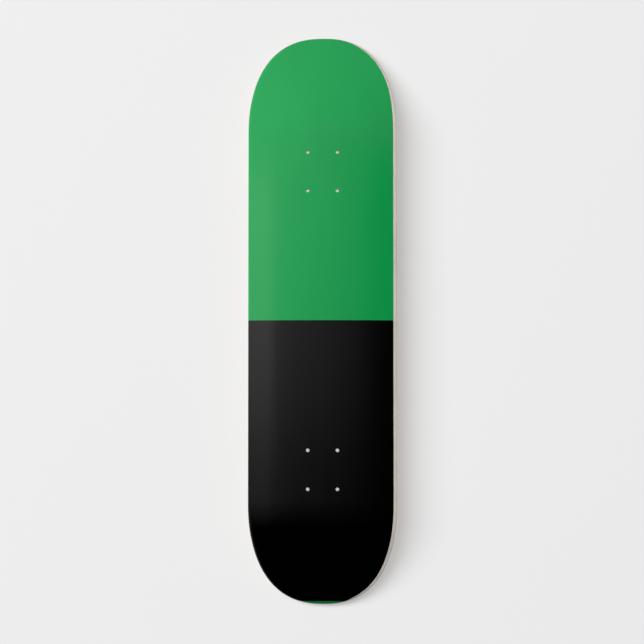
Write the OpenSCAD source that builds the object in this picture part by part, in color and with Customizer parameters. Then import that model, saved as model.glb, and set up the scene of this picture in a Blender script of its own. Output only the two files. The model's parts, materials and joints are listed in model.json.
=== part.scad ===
// A bare skateboard deck: seven maple plies pressed into one curved board, with a two-colour print
// on its underside and the bolt holes for two trucks. It hangs upright with the nose at the top.
// +Z runs along the board to the nose, -Y faces out of the printed underside, and X runs across it.
// The origin is the middle of the nose truck's bolt holes, on the printed face.

/* [Board] */
// Width across the rails
board_width = 208.6; // [190:0.1:230]
// Length of the nose, from its outer bolt holes to the tip
nose_length = 170; // [160:0.1:190]
// Length of the tail, from its outer bolt holes to the tip
tail_length = 164.4; // [160:0.1:190]
// Length over which the nose narrows from full width to the tip
nose_taper = 144.5; // [110:0.5:150]
// Length over which the tail narrows from full width to the tip
tail_taper = 147; // [110:0.5:150]
// Roundness of both ends: 2 is an ellipse, and more is squarer
end_power = 2.42; // [2:0.01:3]

/* [Pressed shape] */
// Angle of the nose above the middle of the board
nose_angle = 21; // [12:0.5:25]
// Angle of the tail above the middle of the board
tail_angle = 20; // [12:0.5:25]
// Distance from the outer bolt holes to the start of each bend
bend_gap = 22; // [15:1:35]
// Radius of each bend on the standing face
bend_radius = 140; // [90:1:200]
// Rise of the rails beside the middle line
concave = 9.5; // [0:0.5:14]
// Share of that rise that is left at the tips
tip_concave = 0.3; // [0:0.05:1]

/* [Plies] */
// Thickness of one ply with its glue
ply_thickness = 1.57; // [1.3:0.01:1.8]
// Radius that rounds both edges of the rail
edge_radius = 3.5; // [2:0.1:5]

/* [Truck bolts] */
// Distance between the two inner pairs of bolt holes
wheelbase = 361.95; // [340:0.05:390]
// Bolt hole spacing along the board
bolt_along = 53.975; // [53.975, 63.5]
// Bolt hole spacing across the board
bolt_across = 41.275; // [38:0.005:44]
// Bolt hole diameter
bolt_hole = 5; // [4.9:0.1:6.5]

/* [Print] */
// Thickness of the printed film and its lacquer
print_thickness = 0.15; // [0.1:0.05:0.4]
// Distance from the tail tip to the line between green and black
colour_line = 399.2; // [300:0.5:500]
// Length of the green band at the tail tip
tail_band = 5.3; // [4.5:0.1:12]
// Strip of bare wood between the print and the rounding of the right rail
bare_strip = 2.1; // [0:0.1:4]

/* [Hidden] */

plies = 7;
board_thickness = plies * ply_thickness;
half_board = board_width / 2;
tail_bolts = -(wheelbase + bolt_along);
nose_tip = to_hundredths(bolt_along / 2 + nose_length);
tail_tip = to_hundredths(tail_bolts - bolt_along / 2 - tail_length);
nose_bend = nose_tip - nose_length + bend_gap;
tail_bend = tail_tip + tail_length - bend_gap;
nose_start = min(nose_bend, nose_tip - nose_taper);
tail_start = max(tail_bend, tail_tip + tail_taper);
outer_radius = bend_radius + board_thickness;
end_rows = 16;
across = 12;
clearance = 5;
$fn = 48;

// ---- Shape of the board ----

// The tips lie on whole hundredths of a millimetre, so the pieces of a layer meet exactly
function to_hundredths(length) = round(100 * length) / 100;

// Distance past the bend at the nearer end, or 0 on the flat between the bends
function past_bend(z) = max(0, z - nose_bend, tail_bend - z);

// The angle that the nearer end is bent to
function end_angle(z) = z > (nose_bend + tail_bend) / 2 ? nose_angle : tail_angle;

// Slope of the middle line at height z
function slope(z) = past_bend(z) < outer_radius * sin(end_angle(z))
    ? asin(past_bend(z) / outer_radius)
    : end_angle(z);

// How far the underside's middle line has risen towards +Y at height z
function rise(z) = let (turned = slope(z), arc = outer_radius * sin(turned))
    outer_radius * (1 - cos(turned)) + (past_bend(z) - arc) * tan(turned);

// Share of the concave at height z, easing from 1 at the bends to tip_concave at the tips
function concave_share(z) =
    let (
        bent_length = z > 0 ? nose_length - bend_gap : tail_length - bend_gap,
        part = min(1, past_bend(z) / bent_length)
    )
    1 - (1 - tip_concave) * (1 - cos(180 * part)) / 2;

// Half the board's width at height z, on an outline that lies inset inside the true one
function half_width(z, inset) =
    let (
        nose_part = (z - nose_tip + nose_taper) / (nose_taper - inset),
        tail_part = (tail_tip + tail_taper - z) / (tail_taper - inset),
        part = min(1, max(0, nose_part, tail_part))
    )
    (half_board - inset) * pow(1 - pow(part, end_power), 1 / end_power);

// A point of the board: x across, z along the underside, depth in from the underside
function board_point(x, z, depth) =
    let (in = depth + concave * concave_share(z) * pow(x / half_board, 2), lean = z > 0 ? -1 : 1)
    [x, rise(z) + in * cos(slope(z)), z + lean * in * sin(slope(z))];

// Inset of the outline at a depth, where the rail's edges are rounded
function rail_inset(depth) =
    let (from_face = min(depth, board_thickness - depth), left = max(0, edge_radius - from_face))
    edge_radius - sqrt(pow(edge_radius, 2) - pow(left, 2));

// ---- Layers: a flat prism between two end pieces ----

// Heights of the rows from the start of an end to its tip, closer together towards the tip
function end_heights(start, tip) = [for (i = [0 : end_rows]) start + (tip - start) * sin(90 * i / end_rows)];

function reversed(list) = [for (i = [len(list) - 1 : -1 : 0]) list[i]];

// The part of a rising list of heights from low to high, with a row exactly at each limit
function cut_heights(heights, low, high) = concat(
    low > heights[0] ? [low] : [],
    [for (z = heights) if (z >= low && z <= high) z],
    high < heights[len(heights) - 1] ? [high] : []
);

function is_tip(z, inset) = half_width(z, inset) < 0.01;

// A row of points across the board, or the one point at a tip. right_share narrows its right half.
function row_of(z, depth, inset, right_share) = is_tip(z, inset)
    ? [board_point(0, z, depth)]
    : [
        for (j = [0 : across])
            let (side = 2 * j / across - 1, share = side > 0 ? right_share : 1)
            board_point(side * share * half_width(z, inset), z, depth)
    ];

// Number of the point in row i and column j, where the first and last rows may be a single point
function at(i, j, last, first_tip, last_tip) =
    let (before = i == 0 ? 0 : (first_tip ? 1 : across + 1) + (i - 1) * (across + 1))
    before + ((i == 0 && first_tip) || (i == last && last_tip) ? 0 : j);

// Triangles over the rows. The diagonals mirror about the middle line.
function surface_faces(last, first_tip, last_tip) = [
    for (i = [0 : last - 1], j = [0 : across - 1])
        let (
            a = at(i, j, last, first_tip, last_tip),
            b = at(i, j + 1, last, first_tip, last_tip),
            c = at(i + 1, j + 1, last, first_tip, last_tip),
            d = at(i + 1, j, last, first_tip, last_tip)
        )
        each a == b ? [[a, c, d]]
            : c == d ? [[a, b, c]]
            : 2 * j < across ? [[a, b, c], [a, c, d]]
            : [[a, b, d], [b, c, d]]
];

// Numbers of the points round a surface's border: up the left, across the top, down the right
function border(last, first_tip, last_tip) = concat(
    [for (i = [0 : last]) at(i, 0, last, first_tip, last_tip)],
    last_tip ? [] : [for (j = [1 : across]) at(last, j, last, first_tip, last_tip)],
    [for (i = [last - 1 : -1 : first_tip ? 1 : 0]) at(i, across, last, first_tip, last_tip)],
    first_tip ? [] : [for (j = [across - 1 : -1 : 1]) at(0, j, last, first_tip, last_tip)]
);

// A layer's piece over one end, between two lists of rows that rise from tail to nose
module end_piece(outer_rows, inner_rows, depths, insets, right_share) {
    last = len(outer_rows) - 1;
    first_tip = is_tip(outer_rows[0], insets[0]);
    last_tip = is_tip(outer_rows[last], insets[0]);
    outer = [for (z = outer_rows) each row_of(z, depths[0], insets[0], right_share)];
    inner = [for (z = inner_rows) each row_of(z, depths[1], insets[1], right_share)];
    step = len(outer);
    faces = surface_faces(last, first_tip, last_tip);
    loop = border(last, first_tip, last_tip);
    walls = [
        for (k = [0 : len(loop) - 1])
            let (a = loop[k], b = loop[(k + 1) % len(loop)])
            each [[a, b, b + step], [a, b + step, a + step]]
    ];
    polyhedron(
        points = concat(outer, inner),
        faces = concat(
            [for (f = faces) reversed(f)],
            [for (f = faces) [for (n = f) n + step]],
            [for (w = walls) reversed(w)]
        )
    );
}

// A layer's piece between the two ends, which has the same section all along
module flat_piece(low, high, depths, insets, right_share) {
    outer = row_of(low, depths[0], insets[0], right_share);
    inner = reversed(row_of(low, depths[1], insets[1], right_share));
    translate([0, 0, low])
        linear_extrude(height = high - low)
            polygon([for (p = concat(outer, inner)) [p.x, p.y]]);
}

// A layer between two depths, over the heights from low to high. insets holds the outline's inset
// at each depth, and right_share narrows the layer's right half.
module layer(depths, insets, low, high, right_share = 1) {
    flat_low = max(low, tail_start);
    flat_high = min(high, nose_start);
    tail_rows = [for (e = insets) reversed(end_heights(tail_start, tail_tip + e))];
    nose_rows = [for (e = insets) end_heights(nose_start, nose_tip - e)];
    if (low < tail_start)
        end_piece(
            cut_heights(tail_rows[0], low, high), cut_heights(tail_rows[1], low, high),
            depths, insets, right_share
        );
    if (flat_low < flat_high)
        flat_piece(flat_low, flat_high, depths, insets, right_share);
    if (high > nose_start)
        end_piece(
            cut_heights(nose_rows[0], low, high), cut_heights(nose_rows[1], low, high),
            depths, insets, right_share
        );
}

// The four bolt holes of each truck
module bolt_holes() {
    for (centre = [0, tail_bolts], x = [-1, 1], z = [-1, 1])
        translate([x * bolt_across / 2, board_thickness + clearance, centre + z * bolt_along / 2])
            rotate([90, 0, 0])
                cylinder(h = board_thickness + 2 * clearance, d = bolt_hole);
}

// ---- Sub-parts ----

// Ply number n, counted from the underside
module ply(n) {
    levels = [n * ply_thickness, (n + 1) * ply_thickness];
    difference() {
        layer(
            [for (d = levels) print_thickness + d],
            [for (d = levels) rail_inset(d)],
            tail_tip, nose_tip
        );
        bolt_holes();
    }
}

// The printed film between two heights on the underside
module print_film(low, high) {
    right_share = 1 - bare_strip / (half_board - edge_radius);
    difference() {
        layer([0, print_thickness], [edge_radius, edge_radius], low, high, right_share);
        bolt_holes();
    }
}

module bottom_face_ply() color("#d9b98c") ply(0);

module lower_core_ply() color("#cfa973") ply(1);

module lower_cross_ply() color("#b98f5c") ply(2);

module centre_core_ply() color("#d4b080") ply(3);

module upper_cross_ply() color("#b98f5c") ply(4);

module upper_core_ply() color("#cfa973") ply(5);

module top_face_ply() color("#e0c49a") ply(6);

module green_print() color("#1f9a50") print_film(tail_tip + colour_line, nose_tip);

module black_print() color("#161616") print_film(tail_tip + tail_band, tail_tip + colour_line);

module tail_band_print() color("#1f9a50") print_film(tail_tip, tail_tip + tail_band);

bottom_face_ply();
lower_core_ply();
lower_cross_ply();
centre_core_ply();
upper_cross_ply();
upper_core_ply();
top_face_ply();
green_print();
black_print();
tail_band_print();
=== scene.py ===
"""The looks of a bare skateboard deck that hangs upright on a wall, built round its CAD frame.

Everything is in metres, in the row's frame: +Z runs along the deck to the nose, -Y faces out of the
printed underside and +Y out of the standing face. The origin is the middle of the nose truck's bolt
holes on the printed face.
"""

import json
import math

import bmesh
import bpy
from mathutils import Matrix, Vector

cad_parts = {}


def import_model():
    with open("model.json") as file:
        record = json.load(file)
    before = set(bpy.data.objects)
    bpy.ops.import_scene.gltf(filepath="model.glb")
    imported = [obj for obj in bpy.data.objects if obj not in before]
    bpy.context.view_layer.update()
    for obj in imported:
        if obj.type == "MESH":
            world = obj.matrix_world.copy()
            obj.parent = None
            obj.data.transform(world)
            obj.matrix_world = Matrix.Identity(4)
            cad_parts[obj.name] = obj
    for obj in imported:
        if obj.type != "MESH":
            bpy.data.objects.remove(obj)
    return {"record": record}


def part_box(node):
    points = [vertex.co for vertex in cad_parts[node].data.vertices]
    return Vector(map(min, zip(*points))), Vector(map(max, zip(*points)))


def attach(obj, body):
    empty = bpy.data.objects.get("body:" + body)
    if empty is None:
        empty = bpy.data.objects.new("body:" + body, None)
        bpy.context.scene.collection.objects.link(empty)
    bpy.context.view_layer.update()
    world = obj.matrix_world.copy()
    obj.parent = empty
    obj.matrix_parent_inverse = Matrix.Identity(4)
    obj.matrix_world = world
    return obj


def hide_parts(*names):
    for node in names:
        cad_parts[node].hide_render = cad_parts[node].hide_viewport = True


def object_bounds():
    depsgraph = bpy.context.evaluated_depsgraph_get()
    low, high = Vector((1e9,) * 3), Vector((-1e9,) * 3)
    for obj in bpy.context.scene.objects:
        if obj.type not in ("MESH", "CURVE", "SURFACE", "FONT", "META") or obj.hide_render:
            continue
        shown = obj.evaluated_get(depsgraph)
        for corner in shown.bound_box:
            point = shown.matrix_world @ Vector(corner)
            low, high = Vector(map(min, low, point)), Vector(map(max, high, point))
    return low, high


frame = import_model()
cad_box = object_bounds()

# ---- Driving dimensions. What the frame can give comes from the frame. ----

MM = 0.001
MOUNTS = {mount["name"]: mount for mount in frame["record"]["mounts"]}
BOLTS = MOUNTS["nose_truck_bolts"]["dims"]
BOLT_X = BOLTS["spacing_x_mm"] * MM / 2
BOLT_Z = BOLTS["spacing_y_mm"] * MM / 2
HOLE_RADIUS = BOLTS["hole_r_mm"] * MM
TRUCKS = [MOUNTS[name]["pos_m"][2] for name in ("tail_truck_bolts", "nose_truck_bolts")]
HALF_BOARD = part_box("centre_core_ply")[1].x
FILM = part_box("bottom_face_ply")[0].y
COLOUR_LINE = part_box("black_print")[1].z

PLY = 1.57 * MM
PLY_NAMES = (
    "bottom_face_ply", "lower_core_ply", "lower_cross_ply", "centre_core_ply",
    "upper_cross_ply", "upper_core_ply", "top_face_ply",
)
WOOD = PLY * len(PLY_NAMES)

# An end's length runs from the outer bolt holes to its tip. Its taper runs from the full width to
# its tip, along a superellipse of the power END_POWER.
NOSE_LENGTH = 170.0 * MM
TAIL_LENGTH = 164.4 * MM
NOSE_TAPER = 144.5 * MM
TAIL_TAPER = 147 * MM
END_POWER = 2.42
NOSE_ANGLE = math.radians(21)
TAIL_ANGLE = math.radians(20)
BEND_GAP = 22 * MM
BEND_RADIUS = 140 * MM + WOOD
CONCAVE = 9.5 * MM
TIP_CONCAVE = 0.3
EDGE_RADIUS = 3.5 * MM
TAIL_BAND = 5.3 * MM
BARE_STRIP = 2.1 * MM

NOSE_TIP = TRUCKS[1] + BOLT_Z + NOSE_LENGTH
TAIL_TIP = TRUCKS[0] - BOLT_Z - TAIL_LENGTH
NOSE_BEND = NOSE_TIP - NOSE_LENGTH + BEND_GAP
TAIL_BEND = TAIL_TIP + TAIL_LENGTH - BEND_GAP
NOSE_START = NOSE_TIP - NOSE_TAPER
TAIL_START = TAIL_TIP + TAIL_TAPER
BAND_LINE = TAIL_TIP + TAIL_BAND
QUARTER_TURN = math.pi / 2

# ---- Mesh fineness ----

# HOLE_PATCH is half the side of the square of cells round a bolt hole. COLUMNS_REACH is the share
# of the half width at which a face's even columns end.
END_ROWS = 40
HOLE_CELLS = 6
HOLE_PATCH = 6 * MM
HOLE_RINGS = 2
FLAT_ROW_GAP = 40 * MM
INNER_COLUMNS = 3
OUTER_COLUMNS = 6
COLUMNS_REACH = 0.8
ROUND_LEVELS = 12
STRAIGHT_LEVELS = 4
LEVEL_GAP = PLY / 48
HEIGHT_DIGITS = 7
HALVINGS = 50
SHARP_ANGLE = math.radians(35)
MERGE_GAP = 0.002 * MM


# ---- Shape of the board ----

def past_bend(z):
    """Distance past the bend at the nearer end, or 0 on the flat between the bends."""
    return max(0, z - NOSE_BEND, TAIL_BEND - z)


def slope(z):
    """Slope of the middle line at height z."""
    end_angle = NOSE_ANGLE if z > (NOSE_BEND + TAIL_BEND) / 2 else TAIL_ANGLE
    turned = past_bend(z) / BEND_RADIUS
    return math.asin(turned) if turned < math.sin(end_angle) else end_angle


def rise(z):
    """How far the underside's middle line has risen towards +Y at height z."""
    turned = slope(z)
    arc = BEND_RADIUS * math.sin(turned)
    return BEND_RADIUS * (1 - math.cos(turned)) + (past_bend(z) - arc) * math.tan(turned)


def concave_share(z):
    """Share of the concave at height z, easing from 1 at the bends to TIP_CONCAVE at the tips."""
    bent_length = (NOSE_LENGTH if z > 0 else TAIL_LENGTH) - BEND_GAP
    part = min(1, past_bend(z) / bent_length)
    return 1 - (1 - TIP_CONCAVE) * (1 - math.cos(math.pi * part)) / 2


def board_point(x, z, depth):
    """A point of the board from its place before bending."""
    inward = depth + CONCAVE * concave_share(z) * (x / HALF_BOARD) ** 2
    lean = -1 if z > 0 else 1
    turned = slope(z)
    return (x, rise(z) + inward * math.cos(turned), z + lean * inward * math.sin(turned))


# ---- Outline. A row crosses the board: (height, taper, turn), and turn is 0 on the flat. ----

def outline_normal(row):
    """Which way the outline faces where a row meets it, as (across, along)."""
    _, taper, turn = row
    across, along = math.cos(turn), math.sin(turn)
    return Vector((
        across ** (2 - 2 / END_POWER) / HALF_BOARD,
        along ** (2 - 2 / END_POWER) / taper if along > 0 else 0,
    )).normalized()


def outline(row, inset):
    """Half width and height where a row meets the outline that lies inset inside the true one."""
    height, taper, turn = row
    across, along = math.cos(turn), math.sin(turn)
    normal = outline_normal(row)
    x = HALF_BOARD * across ** (2 / END_POWER) - inset * normal.x
    z = height + taper * along ** (2 / END_POWER) - inset * normal.y
    return max(0, x), z


def turn_at(height, taper, z, inset):
    """Turn of the row whose outline point, at this inset, lies at height z."""
    low, high = 0, QUARTER_TURN
    for _ in range(HALVINGS):
        turn = (low + high) / 2
        reached = outline((height, taper, turn), inset)[1]
        low, high = (turn, high) if (reached - z) * taper < 0 else (low, turn)
    return low


def end_rows(height, taper):
    """Rows from the start of an end to its tip."""
    turns = [QUARTER_TURN * i / END_ROWS for i in range(1, END_ROWS + 1)]
    return [(height, taper, turn) for turn in turns]


def flat_heights():
    """Heights of the rows between the two ends, with a block of rows at each bolt hole."""
    heights = {round(z, HEIGHT_DIGITS) for z in (TAIL_START, NOSE_START, NOSE_BEND, COLOUR_LINE)}
    for truck in TRUCKS:
        for hole in (truck - BOLT_Z, truck + BOLT_Z):
            for k in range(HOLE_CELLS + 1):
                height = hole + HOLE_PATCH * (2 * k / HOLE_CELLS - 1)
                heights.add(round(height, HEIGHT_DIGITS))
    marks = sorted(heights)
    for low, high in zip(marks, marks[1:]):
        parts = math.ceil((high - low) / FLAT_ROW_GAP)
        heights.update(low + (high - low) * k / parts for k in range(1, parts))
    return sorted(heights)


def board_rows():
    """Every row from the tail tip to the nose tip."""
    flat = [(z, NOSE_TAPER, 0) for z in flat_heights()]
    return end_rows(TAIL_START, -TAIL_TAPER)[::-1] + flat + end_rows(NOSE_START, NOSE_TAPER)


# ---- Columns: where a row's points lie across the board ----

def flat_columns():
    """Places of the columns on the right half, from the middle line out, at full width."""
    hole = [BOLT_X + HOLE_PATCH * (2 * k / HOLE_CELLS - 1) for k in range(HOLE_CELLS + 1)]
    inside = [hole[0] * k / INNER_COLUMNS for k in range(INNER_COLUMNS)]
    spare = HALF_BOARD * COLUMNS_REACH - hole[-1]
    outside = [hole[-1] + spare * k / OUTER_COLUMNS for k in range(1, OUTER_COLUMNS + 1)]
    return inside + hole + outside


COLUMNS = flat_columns()
MIDDLE = [-x for x in COLUMNS[:0:-1]] + COLUMNS


def wood_inset(depth):
    """Inset of the outline at a depth below the wood's printed side, where the rail is rounded."""
    left = max(0, EDGE_RADIUS - min(depth, WOOD - depth))
    return EDGE_RADIUS - math.sqrt(EDGE_RADIUS ** 2 - left ** 2)


def face_stations(depth, inset):
    """Stations of a flat face, left to right: each is a function of the row."""
    def station(column):
        def place(row):
            edge, z = outline(row, inset)
            return column * edge / (HALF_BOARD - inset), z, depth
        return place
    edges = [-(HALF_BOARD - inset), HALF_BOARD - inset]
    return [station(x) for x in edges[:1] + MIDDLE + edges[1:]]


def rail_stations(levels, side):
    """Stations down the rail between two faces, at depths below the wood's printed side."""
    def station(depth):
        def place(row):
            edge, z = outline(row, wood_inset(depth))
            return side * edge, z, FILM + depth
        return place
    return [station(depth) for depth in levels]


def rail_levels(low, high):
    """Depths between two faces of a ply, closer together where the rail is rounded."""
    turns = [QUARTER_TURN * k / ROUND_LEVELS for k in range(1, ROUND_LEVELS + 1)]
    turned = [EDGE_RADIUS * (1 - math.cos(turn)) for turn in turns]
    gap = (WOOD - 2 * EDGE_RADIUS) / STRAIGHT_LEVELS
    straight = [EDGE_RADIUS + gap * k for k in range(1, STRAIGHT_LEVELS)]
    levels = sorted(set(turned + straight + [WOOD - d for d in turned]))
    return [d for d in levels if low + LEVEL_GAP < d < high - LEVEL_GAP]


# ---- Meshes from rows and stations ----

class Layer:
    """A closed body whose every row is one ring of stations: a face, a rail, a face and a rail."""

    def __init__(self, name, rows, face_a, rail_right, face_b, rail_left):
        self.name = name
        self.rows = rows
        self.width = len(face_a)
        self.back = len(face_a) + len(rail_right)
        ring = face_a + rail_right + face_b[::-1] + rail_left
        self.size = len(ring)
        self.bm = bmesh.new()
        self.flat = self.bm.verts.layers.float_vector.new("flat")
        self.verts = [[self.vert(*place(row)) for place in ring] for row in rows]

    def vert(self, x, z, depth):
        """A vertex, which keeps its place before bending in the attribute called flat."""
        made = self.bm.verts.new(board_point(x, z, depth))
        made[self.flat] = (x, z, depth)
        return made

    def a(self, i, j):
        """Vertex of the first face in row i and column j."""
        return self.verts[i][j]

    def b(self, i, j):
        """Vertex of the second face in row i and column j."""
        return self.verts[i][self.back + self.width - 1 - j]

    def quad(self, *corners):
        self.bm.faces.new(corners)

    def skin(self, blocks):
        """Quads between neighbouring rows, left open where a hole's block is."""
        face_cells = range(self.width - 1)
        back_cells = range(self.back, self.back + self.width - 1)
        for i in range(len(self.rows) - 1):
            low, high = self.verts[i], self.verts[i + 1]
            for j in range(self.size):
                k = (j + 1) % self.size
                column = j if j in face_cells else self.back + self.width - 2 - j
                on_face = j in face_cells or j in back_cells
                if on_face and any(r <= i < r + HOLE_CELLS and c <= column < c + HOLE_CELLS
                                   for r, c in blocks):
                    continue
                self.quad(low[j], low[k], high[k], high[j])

    def hole(self, r, c, hole_x, hole_z):
        """A round hole through both faces, in the block of cells that starts at row r, column c."""
        n = HOLE_CELLS
        lower_left = math.radians(-135)
        border = [(0, k) for k in range(n)] + [(k, n) for k in range(n)]
        border += [(n, n - k) for k in range(n)] + [(n - k, 0) for k in range(n)]
        circles = []
        for corner in (self.a, self.b):
            outer = [corner(r + i, c + j) for i, j in border]
            depth = outer[0][self.flat][2]
            rings = [outer]
            for step in range(1, HOLE_RINGS + 2):
                share = step / (HOLE_RINGS + 1)
                ring = []
                for k, v in enumerate(outer):
                    angle = lower_left + math.tau * k / len(outer)
                    x = hole_x + HOLE_RADIUS * math.cos(angle)
                    z = hole_z + HOLE_RADIUS * math.sin(angle)
                    fx, fz, _ = v[self.flat]
                    ring.append(self.vert(fx + (x - fx) * share, fz + (z - fz) * share, depth))
                rings.append(ring)
            for inner, outer_ring in zip(rings[1:], rings):
                self.band(outer_ring, inner)
            circles.append(rings[-1])
        self.band(*circles)

    def band(self, first, second):
        """Quads between two closed rings of vertices."""
        for k in range(len(first)):
            n = (k + 1) % len(first)
            self.quad(first[k], first[n], second[n], second[k])

    def cap(self, i):
        """Closes the body at row i, between its two faces."""
        for j in range(self.width - 1):
            self.quad(self.a(i, j), self.a(i, j + 1), self.b(i, j + 1), self.b(i, j))

    def finished(self, material, slot):
        """The piece as an object that rides on the deck and stands for its CAD node."""
        bmesh.ops.remove_doubles(self.bm, verts=self.bm.verts, dist=MERGE_GAP)
        bmesh.ops.dissolve_degenerate(self.bm, edges=self.bm.edges, dist=MERGE_GAP / 2)
        bmesh.ops.recalc_face_normals(self.bm, faces=self.bm.faces)
        for face in self.bm.faces:
            face.smooth = True
        for edge in self.bm.edges:
            edge.smooth = len(edge.link_faces) == 2 and edge.calc_face_angle(0) < SHARP_ANGLE
        mesh = bpy.data.meshes.new(self.name)
        self.bm.to_mesh(mesh)
        self.bm.free()
        mesh.materials.append(material)
        piece = bpy.data.objects.new(self.name + "_surface", mesh)
        bpy.context.scene.collection.objects.link(piece)
        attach(piece, "root")
        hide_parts(self.name)
        return piece


def hole_blocks(rows, first_column):
    """Row and column where each hole's block starts, with the hole's own place.

    first_column is where the columns of MIDDLE start in a face.
    """
    heights = [row[0] if row[2] == 0 else None for row in rows]
    found = []
    for truck in TRUCKS:
        for hole_z in (truck - BOLT_Z, truck + BOLT_Z):
            starts = [i for i, z in enumerate(heights)
                      if z is not None and abs(z - (hole_z - HOLE_PATCH)) < MERGE_GAP]
            for side in (-1, 1):
                edge = side * BOLT_X - HOLE_PATCH
                column = min(range(len(MIDDLE)), key=lambda j: abs(MIDDLE[j] - edge))
                found += [(r, first_column + column, side * BOLT_X, hole_z) for r in starts]
    return found


def drilled(layer, first_column):
    """Skins a layer and puts the bolt holes through it."""
    blocks = hole_blocks(layer.rows, first_column)
    layer.skin([(r, c) for r, c, _, _ in blocks])
    for block in blocks:
        layer.hole(*block)
    return layer


def ply(number, material, slot):
    """One ply, with its share of the rounded rail."""
    low, high = number * PLY, (number + 1) * PLY
    levels = rail_levels(low, high)
    layer = Layer(
        PLY_NAMES[number], board_rows(),
        face_stations(FILM + low, wood_inset(low)), rail_stations(levels, 1),
        face_stations(FILM + high, wood_inset(high)), rail_stations(levels[::-1], -1),
    )
    return drilled(layer, 1).finished(material, slot)


# ---- Printed film. It wraps the left rail and both tips, and stops short of the right rail. ----

# How far it reaches round the left rail, and the share of its thickness that it loses by there.
WRAP = EDGE_RADIUS * math.radians(80)
WRAP_THINNING = 0.8
FLAT_STEPS = 3
WRAP_STEPS = 9

# The share of BARE_STRIP that is left at this distance past NOSE_START.
NOSE_BARE = 0.3
NOSE_BARE_LENGTH = 72 * MM

# Rows this close to BAND_LINE are left out, except beyond this turn, which is at the tip.
ROW_CLEARANCE = 0.5 * MM
TIP_TURN = 1.5


def straightened(row, inset):
    """A tail row at this inset, turned so that one row lies straight across along BAND_LINE."""
    height, taper, turn = row
    if taper > 0 or turn == 0:
        return row
    base = turn_at(height, taper, BAND_LINE, EDGE_RADIUS)
    here = turn_at(height, taper, BAND_LINE, inset)
    if turn <= base:
        return height, taper, turn * here / base
    left = (QUARTER_TURN - here) / (QUARTER_TURN - base)
    return height, taper, QUARTER_TURN - (QUARTER_TURN - turn) * left


def bare_arc(row):
    """Arc from the start of the rail's rounding to the film's right edge, below 0 on the flat."""
    _, z = outline(row, 0)
    past = min(1, max(0, z - NOSE_START) / NOSE_BARE_LENGTH)
    bare = BARE_STRIP * (1 - (1 - NOSE_BARE) * past ** 2)
    facing = outline_normal(row).x
    gap = (EDGE_RADIUS + bare) * facing * (2 - facing)
    if gap >= EDGE_RADIUS:
        return EDGE_RADIUS - gap
    return min(WRAP, EDGE_RADIUS * math.asin(1 - gap / EDGE_RADIUS))


def film_stations(thick):
    """Stations of the film's outer side, or of its inner side where thick is 0."""
    flat_edge = HALF_BOARD - EDGE_RADIUS
    spare = 1 - MIDDLE[-1] / flat_edge

    def middle(column):
        def place(row):
            edge, z = outline(row, EDGE_RADIUS)
            return column * edge / flat_edge, z, FILM - thick
        return place

    def side(sign, step):
        """A station beyond the middle's: FLAT_STEPS on the flat, then WRAP_STEPS round the rail."""
        def place(row):
            edge, z = outline(row, EDGE_RADIUS)
            end = bare_arc(row) if sign > 0 else WRAP
            turns = min(0, end)
            if step <= FLAT_STEPS:
                low = -spare * edge
                return sign * (edge + low + (turns - low) * step / FLAT_STEPS), z, FILM - thick
            here = turns + (end - turns) * (step - FLAT_STEPS) / WRAP_STEPS
            turned = max(0, here) / EDGE_RADIUS
            reach = EDGE_RADIUS + thick * (1 - WRAP_THINNING * max(0, here) / WRAP)
            inset = EDGE_RADIUS - reach * math.sin(turned)
            edge, z = outline(straightened(row, inset), inset)
            return sign * (edge + min(0, here)), z, FILM + EDGE_RADIUS - reach * math.cos(turned)
        return place

    steps = range(1, FLAT_STEPS + WRAP_STEPS + 1)
    left = [side(-1, step) for step in reversed(steps)]
    return left + [middle(x) for x in MIDDLE] + [side(1, step) for step in steps]


def film(name, low, high, material, slot):
    """A printed piece between two heights, with a straight edge at each one inside the board."""
    band_row = (TAIL_START, -TAIL_TAPER,
                turn_at(TAIL_START, -TAIL_TAPER, BAND_LINE, EDGE_RADIUS))
    kept = []
    for row in board_rows():
        z = outline(row, EDGE_RADIUS)[1]
        crowded = abs(z - BAND_LINE) <= ROW_CLEARANCE and row[2] <= TIP_TURN
        if low - MERGE_GAP < z < high + MERGE_GAP and not crowded:
            kept.append(row)
    if low == BAND_LINE:
        kept = [band_row] + kept
    if high == BAND_LINE:
        kept = kept + [band_row]
    layer = Layer(name, kept, film_stations(FILM), [], film_stations(0), [])
    drilled(layer, FLAT_STEPS + WRAP_STEPS)
    if low > TAIL_TIP:
        layer.cap(0)
    if high < NOSE_TIP:
        layer.cap(len(kept) - 1)
    return layer.finished(material, slot)


# ---- Materials. A scale of noise is in features per metre: across, along and down the board. ----

MID_NOISE = (0.3, 0.7)

# Print, with painted shade on the tail band where it turns down round the tip
MOTTLE = (900, 900, 900)
MOTTLE_TONE = (0.97, 1.03)
PATCHES = (25, 8, 25)
PATCH_TONE = (0.98, 1.02)
BAND_PAINTED_SHADE = 0.65
BAND_EDGE = 0.1 * MM
HAZE = (60, 12, 60)
HAZE_NOISE = (0.35, 0.7)
FILM_ROUGHNESS = (0.07, 0.12)
FILM_IOR = 1.5
WAVES = (70, 7, 70)
WAVE_HEIGHT = 0.04 * MM
PEEL = (450, 450, 450)
PEEL_SHARE = 0.02

# Wood. Glue lines are left out in the outermost GLUE_FREE of a face ply's thickness.
FIGURE = (28, 2.2, 60)
FIBRES = (2200, 45, 2200)
FIBRE_TONE = (0.86, 1.08)
FIBRE_HEIGHT = 0.05 * MM
FLECKS = (1500, 160, 1500)
FLECK_NOISE = (0.66, 0.74)
FLECK_STRENGTH = 0.55
FLECK_TONE = 0.55
WOOD_ROUGHNESS = (0.34, 0.48)
COAT_ROUGHNESS = 0.12
# The bolt holes' walls are darker: partly drilled wood, partly painted shade deep in the holes.
BORE_SHADE = 0.3
BORE_LIP = 0.1 * MM
GLUE_LINE = 0.12 * MM
GLUE_TONE = 0.7
GLUE_FREE = 0.3


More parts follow.
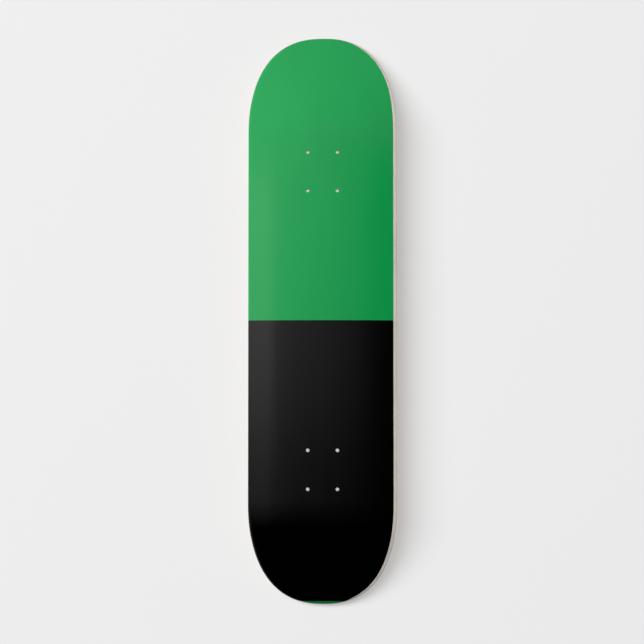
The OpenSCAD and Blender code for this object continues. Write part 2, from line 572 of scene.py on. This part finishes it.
def new_material(name):
    """A material with its node tree and its shader."""
    material = bpy.data.materials.new(name)
    material.use_nodes = True
    return material, material.node_tree, material.node_tree.nodes["Principled BSDF"]


def add(tree, kind, links=(), **values):
    """A node with its settings, and links from other nodes' sockets into its inputs."""
    made = tree.nodes.new(kind)
    for name, value in values.items():
        setattr(made, name, value)
    for key, source in dict(links).items():
        if isinstance(source, bpy.types.NodeSocket):
            tree.links.new(source, made.inputs[key])
        else:
            made.inputs[key].default_value = source
    return made


def flat_place(tree):
    """The place before bending, in metres: across, along and down."""
    return add(tree, "ShaderNodeAttribute", attribute_name="flat").outputs["Vector"]


def flat_axes(tree):
    """The place before bending as three values."""
    return add(tree, "ShaderNodeSeparateXYZ", {0: flat_place(tree)}).outputs


def noise(tree, scale, detail=2.0, roughness=0.5, distortion=0.0):
    """Noise over the place before bending."""
    place = add(tree, "ShaderNodeVectorMath", {0: flat_place(tree), 1: scale}, operation="MULTIPLY")
    made = add(tree, "ShaderNodeTexNoise", {
        "Vector": place.outputs[0], "Scale": 1.0, "Detail": detail,
        "Roughness": roughness, "Distortion": distortion,
    })
    return made.outputs["Fac"]


def grey(level):
    """A grey colour."""
    return level, level, level


def ramp(tree, source, stops):
    """A colour ramp over a value. Each stop is (position, colour)."""
    made = add(tree, "ShaderNodeValToRGB", {"Fac": source})
    points = made.color_ramp.elements
    while len(points) < len(stops):
        points.new(1.0)
    for point, (position, colour) in zip(points, stops):
        point.position = position
        point.color = (*colour, 1)
    return made.outputs["Color"]


def spread(tree, source, low, high, to_low, to_high):
    """A value moved from one range to another and held within it."""
    return add(tree, "ShaderNodeMapRange", {
        "Value": source, "From Min": low, "From Max": high, "To Min": to_low, "To Max": to_high,
    }).outputs["Result"]


def mixed(tree, factor, first, second, blend="MIX"):
    """Two colours mixed by a factor."""
    made = add(tree, "ShaderNodeMix", data_type="RGBA", blend_type=blend)
    # Inputs 6 and 7 and output 2 are the node's colour sockets.
    for index, value in ((0, factor), (6, first), (7, second)):
        if isinstance(value, bpy.types.NodeSocket):
            tree.links.new(value, made.inputs[index])
        else:
            made.inputs[index].default_value = value if index == 0 else (*value, 1)
    return made.outputs[2]


def maths(tree, operation, first, second=0.0):
    """One step of arithmetic."""
    return add(tree, "ShaderNodeMath", {0: first, 1: second}, operation=operation).outputs[0]


def film_material(name, colour):
    """Glossy print: a little mottled, slightly wavy, and darker on the tail band as painted shade,
    since the band turns down round the tip.
    """
    material, tree, shader = new_material(name)
    mottle = spread(tree, noise(tree, MOTTLE, detail=3), *MID_NOISE, *MOTTLE_TONE)
    patches = spread(tree, noise(tree, PATCHES), *MID_NOISE, *PATCH_TONE)
    # Painted shade: the tail band is darkened because it faces down round the tip.
    band = spread(tree, flat_axes(tree)[1], BAND_LINE, BAND_LINE + BAND_EDGE, BAND_PAINTED_SHADE, 1)
    tone = maths(tree, "MULTIPLY", maths(tree, "MULTIPLY", mottle, patches), band)
    scaled = add(tree, "ShaderNodeVectorMath", {0: colour, "Scale": tone}, operation="SCALE")
    tree.links.new(scaled.outputs[0], shader.inputs["Base Color"])
    haze = noise(tree, HAZE, detail=4)
    roughness = spread(tree, haze, *HAZE_NOISE, *FILM_ROUGHNESS)
    tree.links.new(roughness, shader.inputs["Roughness"])
    shader.inputs["IOR"].default_value = FILM_IOR
    peel = maths(tree, "MULTIPLY", noise(tree, PEEL, detail=1), PEEL_SHARE)
    height = maths(tree, "ADD", noise(tree, WAVES, detail=1), peel)
    bump = add(tree, "ShaderNodeBump",
               {"Height": height, "Strength": 1.0, "Distance": WAVE_HEIGHT})
    tree.links.new(bump.outputs["Normal"], shader.inputs["Normal"])
    return material


def bore_shade(tree):
    """1 on the wood's outside, and darker on the drilled walls of the bolt holes: partly the
    drilled wood's own tone, partly painted shade deep in the holes.
    """
    place = flat_axes(tree)
    middle = sum(TRUCKS) / 2
    reach = TRUCKS[1] - middle
    across = maths(tree, "SUBTRACT", maths(tree, "ABSOLUTE", place[0]), BOLT_X)
    from_middle = maths(tree, "ABSOLUTE", maths(tree, "SUBTRACT", place[1], middle))
    from_truck = maths(tree, "ABSOLUTE", maths(tree, "SUBTRACT", from_middle, reach))
    along = maths(tree, "SUBTRACT", from_truck, BOLT_Z)
    squares = maths(tree, "ADD", maths(tree, "MULTIPLY", across, across),
                    maths(tree, "MULTIPLY", along, along))
    distance = maths(tree, "SQRT", squares)
    return spread(tree, distance, HOLE_RADIUS + BORE_LIP / 2, HOLE_RADIUS + BORE_LIP, BORE_SHADE, 1)


def glue_shade(tree):
    """1 in the wood and on its outer faces, and GLUE_TONE in the thin lines between the plies."""
    plies = maths(tree, "DIVIDE", maths(tree, "SUBTRACT", flat_axes(tree)[2], FILM), PLY)
    off_line = maths(tree, "ABSOLUTE", maths(tree, "SUBTRACT", plies, maths(tree, "ROUND", plies)))
    line = spread(tree, off_line, GLUE_LINE / PLY / 2, GLUE_LINE / PLY, GLUE_TONE, 1)
    half = len(PLY_NAMES) / 2
    off_middle = maths(tree, "ABSOLUTE", maths(tree, "SUBTRACT", plies, half))
    outside = maths(tree, "GREATER_THAN", off_middle, half - GLUE_FREE)
    return maths(tree, "MAXIMUM", line, outside)


def wood_material(name, pale, dark, across_grain=False, lacquer=0.0):
    """Maple. Its figure, fibres and flecks run along the board, or across it in a cross ply."""
    material, tree, shader = new_material(name)

    def grained(scale):
        across, along, down = scale
        return (along, across, down) if across_grain else scale

    figure = noise(tree, grained(FIGURE), detail=3, roughness=0.55, distortion=0.6)
    base = ramp(tree, figure, [(0.3, dark), (0.5, pale), (0.62, pale), (0.75, dark)])
    fibres = noise(tree, grained(FIBRES), detail=3, roughness=0.6)
    fine = spread(tree, fibres, *MID_NOISE, *FIBRE_TONE)
    # Painted shade and drilled tone in the bolt holes, times the plies' own dark glue joints.
    bore_shade_and_glue = maths(tree, "MULTIPLY", bore_shade(tree), glue_shade(tree))
    shade = maths(tree, "MULTIPLY", fine, bore_shade_and_glue)
    toned = add(tree, "ShaderNodeVectorMath", {0: base, "Scale": shade}, operation="SCALE")
    flecks = spread(tree, noise(tree, grained(FLECKS), detail=1), *FLECK_NOISE, 0, FLECK_STRENGTH)
    brown = tuple(channel * FLECK_TONE for channel in dark)
    colour = mixed(tree, flecks, toned.outputs[0], brown)
    tree.links.new(colour, shader.inputs["Base Color"])
    roughness = spread(tree, fibres, *MID_NOISE, *WOOD_ROUGHNESS)
    tree.links.new(roughness, shader.inputs["Roughness"])
    bump = add(tree, "ShaderNodeBump",
               {"Height": fibres, "Strength": 0.5, "Distance": FIBRE_HEIGHT})
    tree.links.new(bump.outputs["Normal"], shader.inputs["Normal"])
    shader.inputs["Coat Weight"].default_value = lacquer
    shader.inputs["Coat Roughness"].default_value = COAT_ROUGHNESS
    return material


# ---- Stage: a pale wall behind the deck and a pale floor far below, which aren't the object ----

WALL_GAP = 0.2 * MM
FLOOR_Z = -1.1
STAGE_REACH = 4.0
PAINT_ROUGHNESS = 0.9
WALL_GREY = 0.3
WALL_GLOW = 0.424
FLOOR_GREY = 0.2
FLOOR_GLOW = 0.55


def plane(name, corners, material):
    """A flat stage piece."""
    mesh = bpy.data.meshes.new(name)
    mesh.from_pydata(corners, [], [range(len(corners))])
    mesh.materials.append(material)
    made = bpy.data.objects.new(name, mesh)
    bpy.context.scene.collection.objects.link(made)
    return made


def paint(name, level, glow):
    """Grey matt paint with a glow, as its material, its node tree and its shader."""
    material, tree, shader = new_material(name)
    shader.inputs["Base Color"].default_value = (*grey(level), 1)
    shader.inputs["Roughness"].default_value = PAINT_ROUGHNESS
    shader.inputs["Specular IOR Level"].default_value = 0
    shader.inputs["Emission Color"].default_value = (1, 1, 1, 1)
    shader.inputs["Emission Strength"].default_value = glow
    return material, tree, shader


def wall_material():
    """Pale paint that only its front shows. Its glow keeps the deck's shadow soft."""
    material, tree, shader = paint("wall_paint", WALL_GREY, WALL_GLOW)
    behind = add(tree, "ShaderNodeNewGeometry").outputs["Backfacing"]
    clear = add(tree, "ShaderNodeBsdfTransparent").outputs[0]
    shown = add(tree, "ShaderNodeMixShader", {0: behind, 1: shader.outputs[0], 2: clear})
    tree.links.new(shown.outputs[0], tree.nodes["Material Output"].inputs["Surface"])
    return material


def stage():
    """The wall touches the deck's tips, and shows to the camera only, so it blocks no light."""
    reach = STAGE_REACH
    wall_y = cad_box[1].y + WALL_GAP
    wall = plane("wall", [(-reach, wall_y, FLOOR_Z), (reach, wall_y, FLOOR_Z),
                          (reach, wall_y, reach), (-reach, wall_y, reach)], wall_material())
    for flag in ("diffuse", "glossy", "transmission", "volume_scatter", "shadow"):
        setattr(wall, "visible_" + flag, False)
    floor_paint, _, _ = paint("floor_paint", FLOOR_GREY, FLOOR_GLOW)
    floor = plane("floor", [(-reach, -reach, FLOOR_Z), (reach, -reach, FLOOR_Z),
                            (reach, reach, FLOOR_Z), (-reach, reach, FLOOR_Z)], floor_paint)
    floor.visible_glossy = False
    floor.visible_diffuse = False
    return wall


# ---- Light. Each lamp is (name, place, size, watts) and faces the middle of the deck. ----

DECK_MIDDLE = Vector((0, 0, (NOSE_TIP + TAIL_TIP) / 2))
WALL_KEY = ("wall_key", (-8.2, -12.4, 4.2), (15, 5), 4400)
RAIL_FILL = ("rail_fill", (2.3, -1.2, -0.2), (1.2, 2.2), 43)
DECK_LIGHTS = (
    ("key", (-2.1, -2.0, 0.8), (1.6, 2.2), 103),
    ("front_fill", (-0.3, -3.0, 0.8), (2.0, 2.0), 24.5),
    ("right_fill", (2.2, -0.9, 0.6), (1.2, 2.2), 4.5),
    ("back_fill", (-1.2, 2.4, 0.9), (2.0, 2.0), 60),
)

# What gloss sees of the studio in front of the deck, as (degrees, level). Left and down are below
# 0. Up to the high edge BY_AZIMUTH is multiplied by BY_ELEVATION, and above it HIGH_UP holds.
BY_AZIMUTH = (
    (-60, 0.8), (-18.5, 1.0), (-15.5, 0.54), (-9.5, 0.39), (-1.6, 0.31), (7.4, 0.19),
    (15.4, 0.05), (19.4, 0.015), (60, 0.01),
)
BY_ELEVATION = (
    (-26, 0.0), (-17, 0.08), (-8, 0.18), (-3.8, 0.29), (-1.9, 0.48), (-0.5, 0.77), (2, 1.06),
    (6, 1.3),
)
HIGH_UP = ((-60, 0.9), (-18, 0.74), (0, 0.5), (16, 0.36), (60, 0.3))
HIGH_EDGE = math.radians(7.59)
HIGH_EDGE_TILT = 0.02
HIGH_EDGE_BLUR = math.radians(0.2)
ASIDE = (math.radians(28), math.radians(45))
ASIDE_LEVEL = 0.3
BEHIND_LEVEL = 0.5
BEHIND_BLUR = 0.05
BACKDROP_LEVEL = 0.855
AMBIENT_LEVEL = 0.12


def panel(name, place, size, watts):
    """A soft rectangular lamp that neither the camera nor gloss sees."""
    data = bpy.data.lights.new(name, "AREA")
    data.shape = "RECTANGLE"
    data.size, data.size_y = size
    data.energy = watts
    lamp = bpy.data.objects.new(name, data)
    bpy.context.scene.collection.objects.link(lamp)
    lamp.location = place
    away = Vector(place) - DECK_MIDDLE
    lamp.rotation_mode = "QUATERNION"
    lamp.rotation_quaternion = away.to_track_quat("Z", "Y")
    lamp.visible_camera = False
    lamp.visible_glossy = False
    return lamp


def light_only(lamp, objects, state):
    """Makes a lamp reach only these objects (INCLUDE), or all but these (EXCLUDE)."""
    group = bpy.data.collections.new(lamp.name + "_reach")
    lamp.light_linking.receiver_collection = group
    for made in objects:
        group.objects.link(made)
    for child in group.collection_objects:
        child.light_linking.link_state = state


def by_angle(tree, angle, stops):
    """A level for each angle, from stops given as (degrees, level)."""
    share = spread(tree, angle, -QUARTER_TURN, QUARTER_TURN, 0, 1)
    return ramp(tree, share, [(0.5 + degrees / 180, grey(level)) for degrees, level in stops])


def studio(tree):
    """What gloss sees: bright on the left and above, dark on the right and low, grey behind."""
    towards = add(tree, "ShaderNodeTexCoord").outputs["Generated"]
    axes = add(tree, "ShaderNodeSeparateXYZ", {0: towards}).outputs
    azimuth = maths(tree, "ARCTAN2", axes["X"], maths(tree, "ABSOLUTE", axes["Y"]))
    elevation = maths(tree, "ARCSINE", axes["Z"])
    aside = spread(tree, maths(tree, "ABSOLUTE", azimuth), *ASIDE, 0, ASIDE_LEVEL)
    low = mixed(tree, 1.0, by_angle(tree, elevation, BY_ELEVATION), aside, "LIGHTEN")
    low = mixed(tree, 1.0, by_angle(tree, azimuth, BY_AZIMUTH), low, "MULTIPLY")
    high = by_angle(tree, azimuth, HIGH_UP)
    edge = maths(tree, "ADD", maths(tree, "MULTIPLY", azimuth, HIGH_EDGE_TILT), HIGH_EDGE)
    above = maths(tree, "SUBTRACT", elevation, edge)
    rising = spread(tree, above, -HIGH_EDGE_BLUR, HIGH_EDGE_BLUR, 0, 1)
    behind = spread(tree, axes["Y"], -BEHIND_BLUR, BEHIND_BLUR, 0, 1)
    return mixed(tree, behind, mixed(tree, rising, low, high), grey(BEHIND_LEVEL))


def world():
    """A plain pale backdrop and dim even light, with the studio where gloss reflects it."""
    made = bpy.data.worlds.new("studio")
    bpy.context.scene.world = made
    made.use_nodes = True
    tree = made.node_tree
    path = add(tree, "ShaderNodeLightPath").outputs
    plain = mixed(tree, path["Is Diffuse Ray"], grey(BACKDROP_LEVEL), grey(AMBIENT_LEVEL))
    seen = mixed(tree, path["Is Glossy Ray"], plain, studio(tree))
    tree.links.new(seen, tree.nodes["Background"].inputs["Color"])


def lights(wall, plies):
    """A far soft key for the wall, a fill for the bare wood, and the deck's own lamps."""
    light_only(panel(*WALL_KEY), [wall], "INCLUDE")
    light_only(panel(*RAIL_FILL), plies, "INCLUDE")
    for lamp in DECK_LIGHTS:
        light_only(panel(*lamp), [wall], "EXCLUDE")


# ---- Camera ----

LENS = 94.66
SENSOR = 36
CAMERA_PLACE = Vector((0.055, -2.353, -0.300))
CAMERA_AIM = Vector((-0.0007, 0, -0.2107))


def camera():
    """A long lens, a little to the right of the deck and a little below its middle."""
    data = bpy.data.cameras.new("camera")
    data.lens = LENS
    data.sensor_width = SENSOR
    made = bpy.data.objects.new("camera", data)
    bpy.context.scene.collection.objects.link(made)
    made.location = CAMERA_PLACE
    made.rotation_mode = "QUATERNION"
    made.rotation_quaternion = (CAMERA_AIM - CAMERA_PLACE).to_track_quat("-Z", "Y")
    bpy.context.scene.camera = made


# ---- The deck. A wood's two colours are its pale and its dark figure. ----

CORE_MAPLE = ((0.72, 0.58, 0.43), (0.60, 0.46, 0.32))
CROSS_MAPLE = ((0.52, 0.38, 0.26), (0.40, 0.28, 0.18))
# The bottom face ply's maple is darker and greyer than the other plies: painted shade on its bare
# right rail, which faces away from the key light.
SHADED_BOTTOM_MAPLE = ((0.49, 0.455, 0.41), (0.41, 0.375, 0.33))
TOP_MAPLE = ((0.80, 0.66, 0.49), (0.69, 0.54, 0.37))
BOTTOM_LACQUER = 0.6
TOP_LACQUER = 0.8
GREEN = (0.004, 0.30, 0.069)
BLACK = (0.0002, 0.0002, 0.0002)


def deck():
    """Seven plies and the three printed pieces. Returns the plies."""
    core = wood_material("core_maple", *CORE_MAPLE)
    cross = wood_material("cross_maple", *CROSS_MAPLE, across_grain=True)
    bottom = wood_material("bottom_face_maple", *SHADED_BOTTOM_MAPLE, lacquer=BOTTOM_LACQUER)
    top = wood_material("top_face_maple", *TOP_MAPLE, lacquer=TOP_LACQUER)
    slots = {
        "bottom_face_ply": (bottom, "bottom_face_maple"),
        "lower_cross_ply": (cross, "cross_maple"),
        "upper_cross_ply": (cross, "cross_maple"),
        "top_face_ply": (top, "top_face_maple"),
    }
    plies = [ply(number, *slots.get(name, (core, "core_maple")))
             for number, name in enumerate(PLY_NAMES)]

    green = film_material("green_film", GREEN)
    black = film_material("black_film", BLACK)
    film("green_print", COLOUR_LINE, NOSE_TIP, green, "green_film")
    film("black_print", BAND_LINE, COLOUR_LINE, black, "black_film")
    film("tail_band_print", TAIL_TIP, BAND_LINE, green, "green_film")
    return plies


bpy.context.scene.view_settings.view_transform = "Standard"
lights(stage(), deck())
world()
camera()
